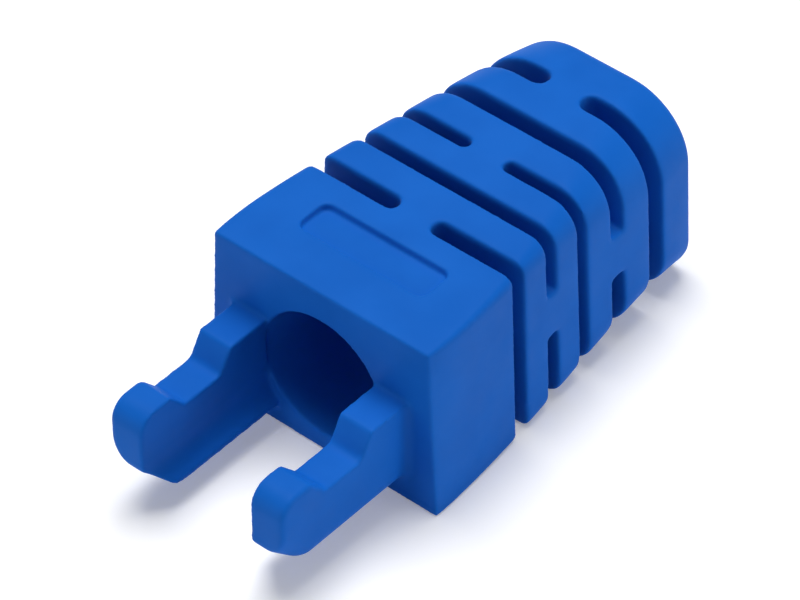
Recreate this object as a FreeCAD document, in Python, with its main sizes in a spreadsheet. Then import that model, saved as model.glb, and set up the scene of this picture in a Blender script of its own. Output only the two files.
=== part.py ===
import FreeCAD, Part
import Sketcher
import math
import os
from FreeCAD import Placement, Rotation, Vector

# Strain relief boot for a modular plug, moulded as one soft plastic piece.
# X is across the boot, Y runs from the plug end towards the cable end, Z is up.
# The sketches stand on the boot's underside, and the finished body is placed so that
# the origin is on the axis of the cable bore, in the plane of the block's front face.
# Lengths are millimetres.

SIZES = {
    # Block behind the plug: sections at its front, at its middle and where the ribs begin
    "block_length": 6.1,
    "underside_trim": 0.1,
    "front_height": 9.68,
    "front_top_half_width": 6.3,
    "front_base_half_width": 6.76,
    "front_top_corner": 0.12,
    "front_base_corner": 0.12,
    "middle_height": 9.78,
    "middle_top_half_width": 6.34,
    "middle_base_half_width": 6.64,
    "middle_top_corner": 0.3,
    "middle_base_corner": 0.3,
    "rear_height": 9.86,
    "rear_top_half_width": 6.05,
    "rear_base_half_width": 6.38,
    "rear_top_corner": 0.5,
    "rear_base_corner": 0.5,
    # Section through the middle of the third rib
    "belly_height": 10.24,
    "belly_lift": 0.1,
    "belly_top_half_width": 5.48,
    "belly_base_half_width": 6.0,
    "belly_top_corner": 2.05,
    "belly_base_corner": 1.7,
    # Section at the cable end
    "tail_height": 10.03,
    "tail_lift": 0.06,
    "tail_top_half_width": 4.93,
    "tail_base_half_width": 5.37,
    "tail_top_corner": 3.45,
    "tail_base_corner": 1.8,
    "tail_rim_round": 0.4,
    # Cable bore
    "bore_radius": 3.43,
    "bore_height": 4.48,
    # Ribs and the slots between them, from the block to the cable end
    "slot_one_width": 0.89,
    "rib_one_width": 1.79,
    "slot_two_width": 0.74,
    "rib_two_width": 1.68,
    "slot_three_width": 0.66,
    "rib_three_width": 1.83,
    "slot_four_width": 0.9,
    "rib_four_width": 1.97,
    "slot_five_width": 1.06,
    "tail_length": 2.53,
    "top_bridge_half_width": 1.03,
    "side_bridge_low": 4.2,
    "side_bridge_high": 6.6,
    "slot_end_flat": 0.03,
    # Arms that reach into the plug
    "arm_half_span": 5.13,
    "arm_inner_half_gap": 3.22,
    "arm_foot_half_gap": 2.52,
    "arm_underside": 1.28,
    "shoulder_height": 6.15,
    "shoulder_length": 2.4,
    "riser_run": 0.75,
    "saddle_height": 4.9,
    "saddle_length": 2.3,
    "hook_ramp_run": 0.95,
    "hook_length": 1.98,
    "hook_height": 5.93,
    "hook_ramp_round": 0.25,
    "hook_round": 1.05,
    "riser_round": 0.4,
    "toe_height": 2.75,
    "toe_run": 1.5,
    "toe_round": 1.2,
    "keel_round": 1.05,
    "hook_edge_round": 0.22,
    "arm_root_round": 0.4,
    # Blank recess on top of the block
    "recess_setback": 2.65,
    "recess_length": 1.98,
    "recess_half_width": 3.68,
    "recess_corner": 0.42,
    "recess_floor_height": 9.45,
}

# Where each slot begins and ends, as sums of sizes measured back from the front face
SLOT_ONE = "block_length"
RIB_ONE = SLOT_ONE + " + slot_one_width"
SLOT_TWO = RIB_ONE + " + rib_one_width"
RIB_TWO = SLOT_TWO + " + slot_two_width"
SLOT_THREE = RIB_TWO + " + rib_two_width"
RIB_THREE = SLOT_THREE + " + slot_three_width"
SLOT_FOUR = RIB_THREE + " + rib_three_width"
RIB_FOUR = SLOT_FOUR + " + slot_four_width"
SLOT_FIVE = RIB_FOUR + " + rib_four_width"
TAIL = SLOT_FIVE + " + slot_five_width"
TAIL_END = TAIL + " + tail_length"
BELLY = RIB_THREE + " + rib_three_width / 2"

doc = FreeCAD.newDocument("StrainReliefBoot")
sheet = doc.addObject("Spreadsheet::Sheet", "Sizes")
for row, (alias, size) in enumerate(SIZES.items(), start=1):
    sheet.set(f"A{row}", alias)
    sheet.set(f"B{row}", str(size))
    sheet.setAlias(f"B{row}", alias)
doc.recompute()

boot = doc.addObject("PartDesign::Body", "boot")
boot.Label = "boot"
boot.Placement = Placement(Vector(0, 0, -SIZES["bore_height"]), Rotation())
boot.setExpression("Placement.Base.z", "-Sizes.bore_height")


def formula(text):
    """Turns a sum of size names into an expression on the sheet's cells."""
    return " ".join("Sizes." + word if word in SIZES else word for word in text.split())


def total(text):
    """Works out the number that a sum of size names comes to."""
    result = 0.0
    term = 0.0
    sign = 1.0
    halve = False
    for word in text.split():
        if word in ("+", "-"):
            result += term
            term = 0.0
            sign = 1.0 if word == "+" else -1.0
        elif word == "/":
            halve = True
        elif halve:
            term /= float(word)
            halve = False
        else:
            term = sign * (SIZES[word] if word in SIZES else float(word))
    return result + term


def new_sketch(name, role, offset="0"):
    """Adds a sketch on one of the body's origin planes, moved along the plane's normal."""
    sketch = boot.newObject("Sketcher::SketchObject", name)
    plane = next(item for item in boot.Origin.OriginFeatures if item.Role == role)
    sketch.AttachmentSupport = (plane, "")
    sketch.MapMode = "FlatFace"
    sketch.AttachmentOffset = Placement(Vector(0, 0, total(offset)), Rotation())
    if offset != "0":
        sketch.setExpression("AttachmentOffset.Base.z", formula(offset))
    return sketch


def fix_distance(sketch, kind, curve, end, text):
    """Ties a point's distance from the sketch's origin, across or up, to a sum of sizes."""
    index = sketch.addConstraint(Sketcher.Constraint(kind, -1, 1, curve, end, total(text)))
    sketch.setExpression(f"Constraints[{index}]", formula(text))


def fix_point(sketch, curve, end, across, up):
    """Ties a point to the sketch's axes by two sums of sizes."""
    fix_distance(sketch, "DistanceX", curve, end, across)
    fix_distance(sketch, "DistanceY", curve, end, up)


def fix_radius(sketch, curve, text):
    """Ties an arc's or circle's radius to a size."""
    index = sketch.addConstraint(Sketcher.Constraint("Radius", curve, total(text)))
    sketch.setExpression(f"Constraints[{index}]", formula(text))


def bore_circle():
    """Gives the bore's circle, as a sketch across the boot sees it."""
    return Part.Circle(Vector(0, SIZES["bore_height"], 0), Vector(0, 0, 1), SIZES["bore_radius"])


def centre_on_bore(sketch, curve):
    """Gives an arc or circle the bore's centre and radius."""
    sketch.addConstraint(Sketcher.Constraint("PointOnObject", curve, 3, -2))
    fix_distance(sketch, "DistanceY", curve, 3, "bore_height")
    fix_radius(sketch, curve, "bore_radius")


def draw_arm_gap():
    """Cuts the gap between the arms, from the block's front face to past their tips."""
    gap = new_sketch("ArmGapSketch", "XZ_Plane")
    circle = bore_circle()
    axis_height = SIZES["bore_height"]
    wall = SIZES["arm_inner_half_gap"]
    foot = SIZES["arm_foot_half_gap"]
    floor = total("- block_length")
    wall_angle = math.acos(wall / circle.Radius)
    foot_angle = math.acos(foot / circle.Radius)
    wall_rise = circle.Radius * math.sin(wall_angle)
    foot_drop = circle.Radius * math.sin(foot_angle)

    def line(start, end):
        return gap.addGeometry(Part.LineSegment(Vector(*start), Vector(*end)))

    def arc(start, end):
        return gap.addGeometry(Part.ArcOfCircle(circle, start, end))

    right_turn = arc(-foot_angle, -wall_angle)
    right_wall = line((wall, axis_height - wall_rise), (wall, axis_height + wall_rise))
    arch = arc(wall_angle, math.pi - wall_angle)
    left_wall = line((-wall, axis_height + wall_rise), (-wall, axis_height - wall_rise))
    left_turn = arc(math.pi + wall_angle, math.pi + foot_angle)
    left_foot = line((-foot, axis_height - foot_drop), (-foot, floor))
    bottom = line((-foot, floor), (foot, floor))
    right_foot = line((foot, floor), (foot, axis_height - foot_drop))

    route = [right_turn, right_wall, arch, left_wall, left_turn, left_foot, bottom, right_foot]
    for before, after in zip(route, route[1:] + route[:1]):
        gap.addConstraint(Sketcher.Constraint("Coincident", before, 2, after, 1))
    for upright in (right_wall, left_wall, left_foot, right_foot):
        gap.addConstraint(Sketcher.Constraint("Vertical", upright))
    centre_on_bore(gap, arch)
    for turn in (right_turn, left_turn):
        gap.addConstraint(Sketcher.Constraint("Coincident", turn, 3, arch, 3))
        gap.addConstraint(Sketcher.Constraint("Equal", turn, arch))
    fix_distance(gap, "DistanceX", right_wall, 1, "arm_inner_half_gap")
    fix_distance(gap, "DistanceX", left_wall, 1, "- arm_inner_half_gap")
    fix_point(gap, bottom, 1, "- arm_foot_half_gap", "- block_length")
    fix_point(gap, bottom, 2, "arm_foot_half_gap", "- block_length")
    cut("ArmGap", gap, reverse=True)


def add_outline(sketch, corners, radii=()):
    """Draws a closed outline through the corners, with arcs where a corner has a radius.

    Each corner is a pair of sums of sizes, and radii maps a corner's place in the list
    to the size of its round.
    """
    radii = dict(radii)
    places = [Vector(total(across), total(up), 0) for across, up in corners]
    count = len(places)
    starts = {}
    ends = {}
    arcs = {}
    for number, radius_name in radii.items():
        corner = places[number]
        before = (places[number - 1] - corner).normalize()
        after = (places[(number + 1) % count] - corner).normalize()
        half_angle = before.getAngle(after) / 2
        radius = total(radius_name)
        reach = radius / math.tan(half_angle)
        centre = corner + (before + after).normalize() * (radius / math.sin(half_angle))
        ends[number] = corner + before * reach
        starts[number] = corner + after * reach
        middle = centre + (corner - centre).normalize() * radius
        arcs[number] = Part.Arc(ends[number], middle, starts[number])
    lines = []
    for number in range(count):
        following = (number + 1) % count
        first = starts.get(number, places[number])
        last = ends.get(following, places[following])
        lines.append(sketch.addGeometry(Part.LineSegment(first, last)))
    for number in range(count):
        before = lines[number - 1]
        after = lines[number]
        if number not in radii:
            sketch.addConstraint(Sketcher.Constraint("Coincident", before, 2, after, 1))
            fix_point(sketch, after, 1, *corners[number])
            continue
        arc = sketch.addGeometry(arcs[number])
        at_start = sketch.getPoint(arc, 1).distanceToPoint(ends[number]) < 1e-6
        near, far = (1, 2) if at_start else (2, 1)
        sketch.addConstraint(Sketcher.Constraint("Tangent", before, 2, arc, near))
        sketch.addConstraint(Sketcher.Constraint("Tangent", after, 1, arc, far))
        fix_radius(sketch, arc, radii[number])
        corner = sketch.addGeometry(Part.Point(places[number]), True)
        sketch.addConstraint(Sketcher.Constraint("PointOnObject", corner, 1, before))
        sketch.addConstraint(Sketcher.Constraint("PointOnObject", corner, 1, after))
        fix_point(sketch, corner, 1, *corners[number])


def section(name, station, prefix, base):
    """Draws one cross-section of the boot: a trapezoid with rounded corners on a base line."""
    sketch = new_sketch(name, "XZ_Plane", minus(station))
    corners = [
        (f"{prefix}_base_half_width", base),
        (f"{prefix}_top_half_width", f"{prefix}_height"),
        (f"- {prefix}_top_half_width", f"{prefix}_height"),
        (f"- {prefix}_base_half_width", base),
    ]
    base_corner = f"{prefix}_base_corner"
    top_corner = f"{prefix}_top_corner"
    add_outline(sketch, corners, {0: base_corner, 1: top_corner, 2: top_corner, 3: base_corner})
    return sketch


def minus(text):
    """Turns a sum of sizes into its negative."""
    return "- " + text.replace(" + ", " - ")


def cut(name, sketch, side_type="One side", reverse=False):
    """Cuts a sketch right through the body and makes sure that it takes material off."""
    before = boot.Shape.Volume
    pocket = boot.newObject("PartDesign::Pocket", name)
    pocket.Profile = sketch
    pocket.Type = "ThroughAll"
    pocket.SideType = side_type
    pocket.Reversed = reverse
    doc.recompute()
    if pocket.Shape.isNull() or not pocket.Shape.isValid():
        raise ValueError(name + " has no sound shape")
    if boot.Shape.Volume >= before:
        raise ValueError(name + " takes nothing off the boot")
    return pocket


def round_edges(name, radius, test):
    """Rounds the edges of the body that a test picks out."""
    doc.recompute()
    base = boot.Tip
    names = [f"Edge{number}" for number, edge in enumerate(base.Shape.Edges, start=1) if test(edge)]
    fillet = boot.newObject("PartDesign::Fillet", name)
    fillet.Base = (base, names)
    fillet.Radius = SIZES[radius]
    fillet.setExpression("Radius", "Sizes." + radius)
    doc.recompute()
    if fillet.Shape.isNull() or not fillet.Shape.isValid():
        raise ValueError(name + " has no sound shape")
    return fillet


# Outer form: a block that swells into the rounded, tapering run of ribs
front = section("FrontSection", "0", "front", "- underside_trim")
middle = section("BlockMiddleSection", "block_length / 2", "middle", "- underside_trim")
rear = section("BlockRearSection", SLOT_ONE, "rear", "- underside_trim")
belly = section("BellySection", BELLY, "belly", "belly_lift")
tail = section("TailSection", TAIL_END, "tail", "tail_lift")
form = boot.newObject("PartDesign::AdditiveLoft", "OuterForm")
form.Profile = tail
form.Sections = [belly, rear, middle, front]
doc.recompute()

# The rim at the cable end is rounded while the form is still whole
end_place = total(TAIL_END)
round_edges("TailRim", "tail_rim_round", lambda edge: edge.BoundBox.YMin > end_place - 0.01)

# The underside of the block is trimmed flat, so that the boot can stand on it
underside = new_sketch("UndersideSketch", "XY_Plane")
side = "front_base_half_width + 1"
ahead = "- 1"
behind = TAIL_END + " + 1"
trim_corners = [(minus(side), ahead), (side, ahead), (side, behind), (minus(side), behind)]
add_outline(underside, trim_corners)
cut("Underside", underside)

# Arms: one side profile for the pair, with a hook near the tip and a sloping toe
profile = new_sketch("ArmProfile", "YZ_Plane")
saddle_front = "- shoulder_length - riser_run - saddle_length"
hook_rear = saddle_front + " - hook_ramp_run"
tip = hook_rear + " - hook_length"
arm_corners = [
    ("block_length / 2", "arm_underside"),
    ("block_length / 2", "shoulder_height"),
    ("- shoulder_length", "shoulder_height"),
    ("- shoulder_length - riser_run", "saddle_height"),
    (saddle_front, "saddle_height"),
    (hook_rear, "hook_height"),
    (tip, "hook_height"),
    (tip, "toe_height"),
    (tip + " + toe_run", "arm_underside"),
]
arm_rounds = {3: "riser_round", 5: "hook_ramp_round", 6: "hook_round", 8: "toe_round"}
add_outline(profile, arm_corners, arm_rounds)
arms = boot.newObject("PartDesign::Pad", "Arms")
arms.Profile = profile
arms.SideType = "Symmetric"
arms.Length = 2 * SIZES["arm_half_span"]
arms.setExpression("Length", "2 * Sizes.arm_half_span")
doc.recompute()

# Gap between the arms: it follows the bore, with upright walls and a narrower foot
draw_arm_gap()

# Bore for the cable, right through the block and the ribs
bore_sketch = new_sketch("BoreSketch", "XZ_Plane")
ring = bore_sketch.addGeometry(bore_circle())
centre_on_bore(bore_sketch, ring)
cut("Bore", bore_sketch)


def cut_side_slots(name, start, end, width):
    """Cuts a slot into each side of the boot, leaving a bridge at the top and bottom."""
    sketch = new_sketch(name + "Sketch", "XY_Plane")
    for side in ("", "- "):
        inner = side + "top_bridge_half_width"
        outer = side + "front_base_half_width" + (" + 1" if not side else " - 1")
        corners = [(inner, start), (outer, start), (outer, end), (inner, end)]
        end_round = width + " / 2 - slot_end_flat"
        add_outline(sketch, corners, {0: end_round, 3: end_round})
    return cut(name, sketch, "Symmetric")


def cut_top_and_bottom_slots(name, start, end):
    """Cuts a slot over the top and one underneath, leaving a bridge on each side."""
    sketch = new_sketch(name + "Sketch", "YZ_Plane")
    for edge, beyond in (("side_bridge_high", "belly_height + 1"), ("side_bridge_low", "- 1")):
        add_outline(sketch, [(start, edge), (end, edge), (end, beyond), (start, beyond)])
    return cut(name, sketch, "Symmetric")


# Slots take turns round the boot, so that it bends both ways like a chain
cut_side_slots("SlotOne", SLOT_ONE, RIB_ONE, "slot_one_width")
cut_top_and_bottom_slots("SlotTwo", SLOT_TWO, RIB_TWO)
cut_side_slots("SlotThree", SLOT_THREE, RIB_THREE, "slot_three_width")
cut_top_and_bottom_slots("SlotFour", SLOT_FOUR, RIB_FOUR)
cut_side_slots("SlotFive", SLOT_FIVE, TAIL, "slot_five_width")

# Blank recess on top of the block
recess_sketch = new_sketch("RecessSketch", "XY_Plane", "recess_floor_height")
recess_rear = "recess_setback + recess_length"
recess_corners = [
    ("- recess_half_width", "recess_setback"),
    ("recess_half_width", "recess_setback"),
    ("recess_half_width", recess_rear),
    ("- recess_half_width", recess_rear),
]
add_outline(recess_sketch, recess_corners, {number: "recess_corner" for number in range(4)})
cut("Recess", recess_sketch, reverse=True)


def on_arm_flank(edge):
    """Says whether an edge lies in one of the two outer side planes of the arms."""
    box = edge.BoundBox
    half_span = total("arm_half_span")
    return box.XLength < 0.01 and abs(abs(box.XMin) - half_span) < 0.01 and box.YMin < 0.01


def on_keel(edge):
    """Says whether an edge runs along the underside of an arm's flank, toe included."""
    box = edge.BoundBox
    return on_arm_flank(edge) and box.ZMax < total("toe_height") + 0.01 and box.YLength > 0.01


def round_hook(edge):
    """Says whether an edge of an arm's flank runs up the tip or over the hook."""
    return on_arm_flank(edge) and edge.BoundBox.YMax < total(saddle_front) + 0.01 and not on_keel(edge)


def at_arm_root(edge):
    """Says whether an edge joins an arm's flank to the front of the block."""
    return on_arm_flank(edge) and edge.BoundBox.YLength < 0.01 and abs(edge.BoundBox.YMin) < 0.01


# Soft edges on the arms, and a fillet where they grow out of the block
round_edges("KeelRounds", "keel_round", on_keel)
round_edges("HookEdges", "hook_edge_round", round_hook)
round_edges("ArmRoots", "arm_root_round", at_arm_root)

doc.recompute()

# Every feature has to be sound before the piece is written
for item in doc.Objects:
    if "Invalid" in item.State or "Error" in item.State:
        raise ValueError(f"{item.Name} could not be worked out: {item.State}")
    if item.isDerivedFrom("PartDesign::Feature") and item.Shape.isNull():
        raise ValueError(f"{item.Name} has no shape")
if len(boot.Shape.Solids) != 1 or not boot.Shape.isValid():
    raise ValueError("the boot is not one sound solid")

os.makedirs("parts", exist_ok=True)
boot.Shape.exportStep(f"parts/{boot.Label}.step")
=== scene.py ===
import math

import bmesh
import bpy
from mathutils import Euler, Matrix, Vector


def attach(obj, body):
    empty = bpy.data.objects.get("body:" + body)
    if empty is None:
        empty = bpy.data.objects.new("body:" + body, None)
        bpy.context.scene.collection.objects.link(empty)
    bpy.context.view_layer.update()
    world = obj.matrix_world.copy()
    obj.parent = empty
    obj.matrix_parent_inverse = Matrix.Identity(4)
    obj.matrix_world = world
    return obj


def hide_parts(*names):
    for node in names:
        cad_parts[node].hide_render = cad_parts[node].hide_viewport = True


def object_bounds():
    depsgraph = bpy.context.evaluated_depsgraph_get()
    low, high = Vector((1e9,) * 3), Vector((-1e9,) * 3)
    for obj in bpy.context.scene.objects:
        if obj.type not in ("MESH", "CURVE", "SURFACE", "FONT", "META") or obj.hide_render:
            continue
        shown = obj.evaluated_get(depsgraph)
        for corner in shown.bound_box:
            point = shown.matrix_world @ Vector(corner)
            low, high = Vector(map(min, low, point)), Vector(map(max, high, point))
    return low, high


# Looks of the strain relief boot: one piece of soft blue plastic with a satin skin,
# on a pale floor under soft studio light. Lengths are metres, in the CAD model's frame:
# X is across the boot, Y runs from the plug end to the cable end, Z is up.

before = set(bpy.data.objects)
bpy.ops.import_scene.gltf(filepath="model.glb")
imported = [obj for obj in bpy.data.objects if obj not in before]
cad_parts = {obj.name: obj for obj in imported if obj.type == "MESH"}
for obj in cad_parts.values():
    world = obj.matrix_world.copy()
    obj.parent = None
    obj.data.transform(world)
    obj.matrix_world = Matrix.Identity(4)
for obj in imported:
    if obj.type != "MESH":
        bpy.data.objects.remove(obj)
cad_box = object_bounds()
MM = 0.001
WHITE = (1, 1, 1, 1)

# Camera
IMAGE_WIDTH = 800
SENSOR_WIDTH = 36.0
FOCAL_PIXELS = 5143.75
AZIMUTH = math.radians(40.97)
ELEVATION = math.radians(43.0)
ROLL = math.radians(-0.45)
DISTANCE = 233.18 * MM
AIM = Vector((-0.262, 5.718, 0.556)) * MM
CLIP_START = 0.01

# Light: strength of the room's even light, then name, place, width and watts of each soft box
ROOM_LIGHT = 0.17
SOFT_BOX_TARGET = Vector((0, 0.006, 0))
SOFT_BOXES = (
    ("key", (-0.08, 0.07, 0.41), 0.28, 1.74),
    ("side", (0.40, 0.14, 0.07), 0.16, 0.54),
    ("front", (-0.10, -0.40, 0.06), 0.20, 0.36),
)

# Floor, and its extra brightness as the camera sees it
FLOOR_RADIUS = 2.0
FLOOR_SIDES = 64
FLOOR_COLOUR = (0.92, 0.92, 0.92, 1)
FLOOR_ROUGHNESS = 0.9
FLOOR_LIFT = 0.22

# Plastic: each pattern has its features to a metre and its detail, each bump its strength
# and height
DEEP_BLUE = (0.005, 0.110, 0.500, 1)
PALE_BLUE = (0.007, 0.124, 0.545, 1)
CLOUDS = (260, 3)
CLOUD_RANGE = (0.35, 0.65)
GLOSSIEST = (0.46, 0.46, 0.46, 1)
DULLEST = (0.56, 0.56, 0.56, 1)
PATCHES = (700, 4)
PATCH_RANGE = (0.3, 0.7)
GRAIN = (9000, 5)
GRAIN_BUMP = (0.12, 0.02 * MM)
RIPPLE = (900, 2)
RIPPLE_BUMP = (0.15, 0.05 * MM)
PLASTIC_SPECULAR = 0.05
PLASTIC_IOR = 1.48

# Moulded skin
WELD_DISTANCE = 1e-6
SKIN_VOXEL = 0.07 * MM
SKIN_TRIANGLES = 190000
# The skin's grid stands askew to the boot, so that its steps are short and smooth away
GRID_TURN = Euler((math.radians(23), math.radians(31), math.radians(17)))
SOFTENING = 0.5
BEFORE_ALL = -20 * MM
BEHIND_ALL = 40 * MM
ABOVE_ALL = 20 * MM
RIBS_FRONT = 6.15 * MM
FEET_TOP = -3.0 * MM
# Name, front end, back end and top of each stretch, and how often the grid is smoothed there.
# The stretches overlap, so the rib feet have all three.
SOFT_STRETCHES = (
    ("whole", BEFORE_ALL, BEHIND_ALL, ABOVE_ALL, 26),
    ("ribs", RIBS_FRONT, BEHIND_ALL, ABOVE_ALL, 20),
    ("rib_feet", RIBS_FRONT, BEHIND_ALL, FEET_TOP, 36),
)

# Cove along the foot of each arm's inner side, and the gap between the arms that it lines
COVE_FOOT_X = 2.52 * MM
COVE_FOOT_Z = -2.88 * MM
COVE_WALL_X = 3.2 * MM
COVE_TOP_Z = -1.75 * MM
COVE_STEPS = 10
GAP_FRONT_Y = -9.0 * MM
GAP_BACK_Y = -0.01 * MM
GAP_TOP_Z = 2.5 * MM


def new_material(name):
    """Makes a node material and gives it back with its node tree and its shader."""
    material = bpy.data.materials.new(name)
    material.use_nodes = True
    tree = material.node_tree
    return material, tree, tree.nodes["Principled BSDF"]


def noise(tree, where, scale, detail):
    """Adds a noise pattern with so many features to a metre."""
    node = tree.nodes.new("ShaderNodeTexNoise")
    node.inputs["Scale"].default_value = scale
    node.inputs["Detail"].default_value = detail
    tree.links.new(where, node.inputs["Vector"])
    return node


def ramp(tree, pattern, stops, first, last):
    """Adds a colour ramp that turns a pattern from one colour to another between two stops."""
    node = tree.nodes.new("ShaderNodeValToRGB")
    for element, stop, colour in zip(node.color_ramp.elements, stops, (first, last)):
        element.position = stop
        element.color = colour
    tree.links.new(pattern.outputs["Fac"], node.inputs["Fac"])
    return node


def bump(tree, pattern, strength, height):
    """Adds a bump that follows a pattern."""
    node = tree.nodes.new("ShaderNodeBump")
    node.inputs["Strength"].default_value = strength
    node.inputs["Distance"].default_value = height
    tree.links.new(pattern.outputs["Fac"], node.inputs["Height"])
    return node


def boot_plastic():
    """Soft blue plastic: a satin skin with a fine moulded grain and faint cloudy tone."""
    material, tree, shader = new_material("blue_boot_plastic")
    links = tree.links
    place = tree.nodes.new("ShaderNodeTexCoord").outputs["Object"]

    tone = ramp(tree, noise(tree, place, *CLOUDS), CLOUD_RANGE, DEEP_BLUE, PALE_BLUE)
    links.new(tone.outputs["Color"], shader.inputs["Base Color"])
    gloss = ramp(tree, noise(tree, place, *PATCHES), PATCH_RANGE, GLOSSIEST, DULLEST)
    links.new(gloss.outputs["Color"], shader.inputs["Roughness"])

    fine = bump(tree, noise(tree, place, *GRAIN), *GRAIN_BUMP)
    broad = bump(tree, noise(tree, place, *RIPPLE), *RIPPLE_BUMP)
    links.new(fine.outputs["Normal"], broad.inputs["Normal"])
    links.new(broad.outputs["Normal"], shader.inputs["Normal"])

    shader.inputs["Specular IOR Level"].default_value = PLASTIC_SPECULAR
    shader.inputs["IOR"].default_value = PLASTIC_IOR
    return material


def set_mesh(piece):
    """Gives a piece the mesh that its modifiers make, and takes the modifiers off."""
    bpy.context.view_layer.update()
    ready = piece.evaluated_get(bpy.context.evaluated_depsgraph_get())
    mesh = bpy.data.meshes.new_from_object(ready)
    piece.modifiers.clear()
    piece.data = mesh


def weld_corners(piece):
    """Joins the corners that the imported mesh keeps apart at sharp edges."""
    weld = bmesh.new()
    weld.from_mesh(piece.data)
    bmesh.ops.remove_doubles(weld, verts=weld.verts, dist=WELD_DISTANCE)
    weld.to_mesh(piece.data)
    weld.free()


def cove_outline():
    """Gives the arm gap's outline from the front: upright walls that curve in at their feet."""
    reach = COVE_WALL_X - COVE_FOOT_X
    drop = COVE_TOP_Z - COVE_FOOT_Z
    sweep = 2 * math.atan(reach / drop)
    radius = drop / math.sin(sweep)
    side = [(COVE_WALL_X, GAP_TOP_Z)]
    for step in range(COVE_STEPS + 1):
        angle = sweep * step / COVE_STEPS
        inward = radius * (1 - math.cos(angle))
        side.append((COVE_WALL_X - inward, COVE_TOP_Z - radius * math.sin(angle)))
    return side + [(-x, z) for x, z in reversed(side)]


def cut_cove(skin):
    """Hollows the arms' inner sides to a cove between their upright walls and their feet."""
    outline = cove_outline()
    bar = bmesh.new()
    front = [bar.verts.new((x, GAP_FRONT_Y, z)) for x, z in outline]
    back = [bar.verts.new((x, GAP_BACK_Y, z)) for x, z in outline]
    bar.faces.new(front)
    bar.faces.new(reversed(back))
    edges = list(zip(front, back))
    for here, after in zip(edges, edges[1:] + edges[:1]):
        bar.faces.new((after[0], here[0], here[1], after[1]))
    bmesh.ops.recalc_face_normals(bar, faces=bar.faces)
    mesh = bpy.data.meshes.new("cove_cutter")
    bar.to_mesh(mesh)
    bar.free()
    cutter = bpy.data.objects.new("cove_cutter", mesh)
    bpy.context.scene.collection.objects.link(cutter)
    cove = skin.modifiers.new("cove", "BOOLEAN")
    cove.operation = "DIFFERENCE"
    cove.object = cutter
    set_mesh(skin)
    bpy.data.objects.remove(cutter)


def lay_even_grid(skin):
    """Makes the skin's mesh anew on an even grid of small squares."""
    askew = GRID_TURN.to_matrix().to_4x4()
    skin.data.transform(askew)
    remesh = skin.modifiers.new("even_grid", "REMESH")
    remesh.mode = "VOXEL"
    remesh.voxel_size = SKIN_VOXEL
    set_mesh(skin)
    skin.data.transform(askew.inverted())


def soften_edges(skin):
    """Smooths the even grid stretch by stretch, then thins it out where it is flat."""
    points = [(vertex.index, vertex.co) for vertex in skin.data.vertices]
    for name, front, back, top, steps in SOFT_STRETCHES:
        group = skin.vertex_groups.new(name=name)
        within = [i for i, place in points if front < place.y < back and place.z < top]
        group.add(within, 1.0, "REPLACE")
        soften = skin.modifiers.new(name, "SMOOTH")
        soften.factor = SOFTENING
        soften.iterations = steps
        soften.vertex_group = name
    square_triangles = 2 * len(skin.data.polygons)
    thin = skin.modifiers.new("fewer_flat_faces", "DECIMATE")
    thin.ratio = SKIN_TRIANGLES / square_triangles
    set_mesh(skin)


def moulded_skin(node):
    """Copies the CAD solid and gives its edges the soft rounds of a moulding.

    The rims of the ribs are rounder than the edges of the block and the arms, most of all
    near the floor.
    """
    skin = bpy.data.objects.new("boot_skin", node.data.copy())
    bpy.context.scene.collection.objects.link(skin)
    weld_corners(skin)
    cut_cove(skin)
    lay_even_grid(skin)
    soften_edges(skin)
    for polygon in skin.data.polygons:
        polygon.use_smooth = True
    return skin


def background_rays(tree):
    """Gives 1 where the camera, a gloss or a clear body looks at the background, else 0."""
    path = tree.nodes.new("ShaderNodeLightPath")
    direct = tree.nodes.new("ShaderNodeMath")
    direct.operation = "ADD"
    tree.links.new(path.outputs["Is Camera Ray"], direct.inputs[0])
    tree.links.new(path.outputs["Is Glossy Ray"], direct.inputs[1])
    seen = tree.nodes.new("ShaderNodeMath")
    seen.operation = "ADD"
    seen.use_clamp = True
    tree.links.new(direct.outputs["Value"], seen.inputs[0])
    tree.links.new(path.outputs["Is Transmission Ray"], seen.inputs[1])
    return seen.outputs["Value"]


def floor_material():
    """Plain pale paper that keeps the shadow and looks white to the camera away from it."""
    material, tree, shader = new_material("pale_floor")
    shader.inputs["Base Color"].default_value = FLOOR_COLOUR
    shader.inputs["Roughness"].default_value = FLOOR_ROUGHNESS
    shader.inputs["Specular IOR Level"].default_value = 0.0
    shader.inputs["Emission Color"].default_value = WHITE
    lift = tree.nodes.new("ShaderNodeMath")
    lift.operation = "MULTIPLY"
    lift.inputs[1].default_value = FLOOR_LIFT
    tree.links.new(background_rays(tree), lift.inputs[0])
    tree.links.new(lift.outputs["Value"], shader.inputs["Emission Strength"])
    return material


def lay_floor(height):
    """Lays a round pale floor under the boot."""
    bpy.ops.mesh.primitive_circle_add(
        vertices=FLOOR_SIDES, radius=FLOOR_RADIUS, fill_type="NGON", location=(0, 0, height)
    )
    floor = bpy.context.object
    floor.name = "floor"
    floor.data.materials.append(floor_material())


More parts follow.
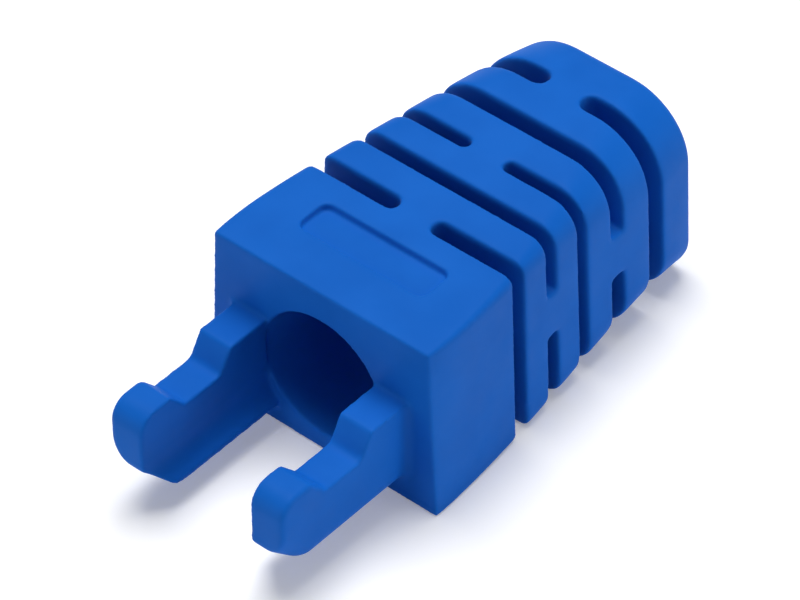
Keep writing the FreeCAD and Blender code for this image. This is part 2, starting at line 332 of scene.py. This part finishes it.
def light_world():
    """Fills the room with an even pale light, white where the camera or a gloss sees it."""
    world = bpy.data.worlds.new("studio")
    bpy.context.scene.world = world
    world.use_nodes = True
    tree = world.node_tree
    dim = tree.nodes["Background"]
    dim.inputs["Color"].default_value = WHITE
    dim.inputs["Strength"].default_value = ROOM_LIGHT
    bright = tree.nodes.new("ShaderNodeBackground")
    bright.inputs["Color"].default_value = WHITE
    bright.inputs["Strength"].default_value = 1.0
    mix = tree.nodes.new("ShaderNodeMixShader")
    tree.links.new(background_rays(tree), mix.inputs["Fac"])
    tree.links.new(dim.outputs["Background"], mix.inputs[1])
    tree.links.new(bright.outputs["Background"], mix.inputs[2])
    tree.links.new(mix.outputs["Shader"], tree.nodes["World Output"].inputs["Surface"])


def hang_soft_box(name, place, width, watts):
    """Hangs a square soft box that looks at the boot."""
    lamp = bpy.data.lights.new(name, "AREA")
    lamp.size = width
    lamp.energy = watts
    box = bpy.data.objects.new(name, lamp)
    box.location = place
    line = SOFT_BOX_TARGET - Vector(place)
    box.rotation_euler = line.to_track_quat("-Z", "Y").to_euler()
    bpy.context.scene.collection.objects.link(box)


def place_camera():
    """Puts the camera at the photograph's angle and distance."""
    back = Vector((
        math.sin(AZIMUTH) * math.cos(ELEVATION),
        -math.cos(AZIMUTH) * math.cos(ELEVATION),
        math.sin(ELEVATION),
    ))
    level_right = Vector((math.cos(AZIMUTH), math.sin(AZIMUTH), 0))
    level_up = back.cross(level_right)
    right = level_right * math.cos(ROLL) + level_up * math.sin(ROLL)
    up = level_up * math.cos(ROLL) - level_right * math.sin(ROLL)
    lens = bpy.data.cameras.new("camera")
    lens.sensor_fit = "HORIZONTAL"
    lens.sensor_width = SENSOR_WIDTH
    lens.lens = SENSOR_WIDTH * FOCAL_PIXELS / IMAGE_WIDTH
    lens.clip_start = CLIP_START
    camera = bpy.data.objects.new("camera", lens)
    turn = Matrix((right, up, back)).transposed().to_4x4()
    camera.matrix_world = Matrix.Translation(AIM + back * DISTANCE) @ turn
    bpy.context.scene.collection.objects.link(camera)
    bpy.context.scene.camera = camera


plastic = boot_plastic()
skin = moulded_skin(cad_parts["boot"])
skin.data.materials.clear()
skin.data.materials.append(plastic)
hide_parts("boot")
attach(skin, "root")

lay_floor(cad_box[0][2])
light_world()
for soft_box in SOFT_BOXES:
    hang_soft_box(*soft_box)
place_camera()
bpy.context.scene.view_settings.view_transform = "Standard"
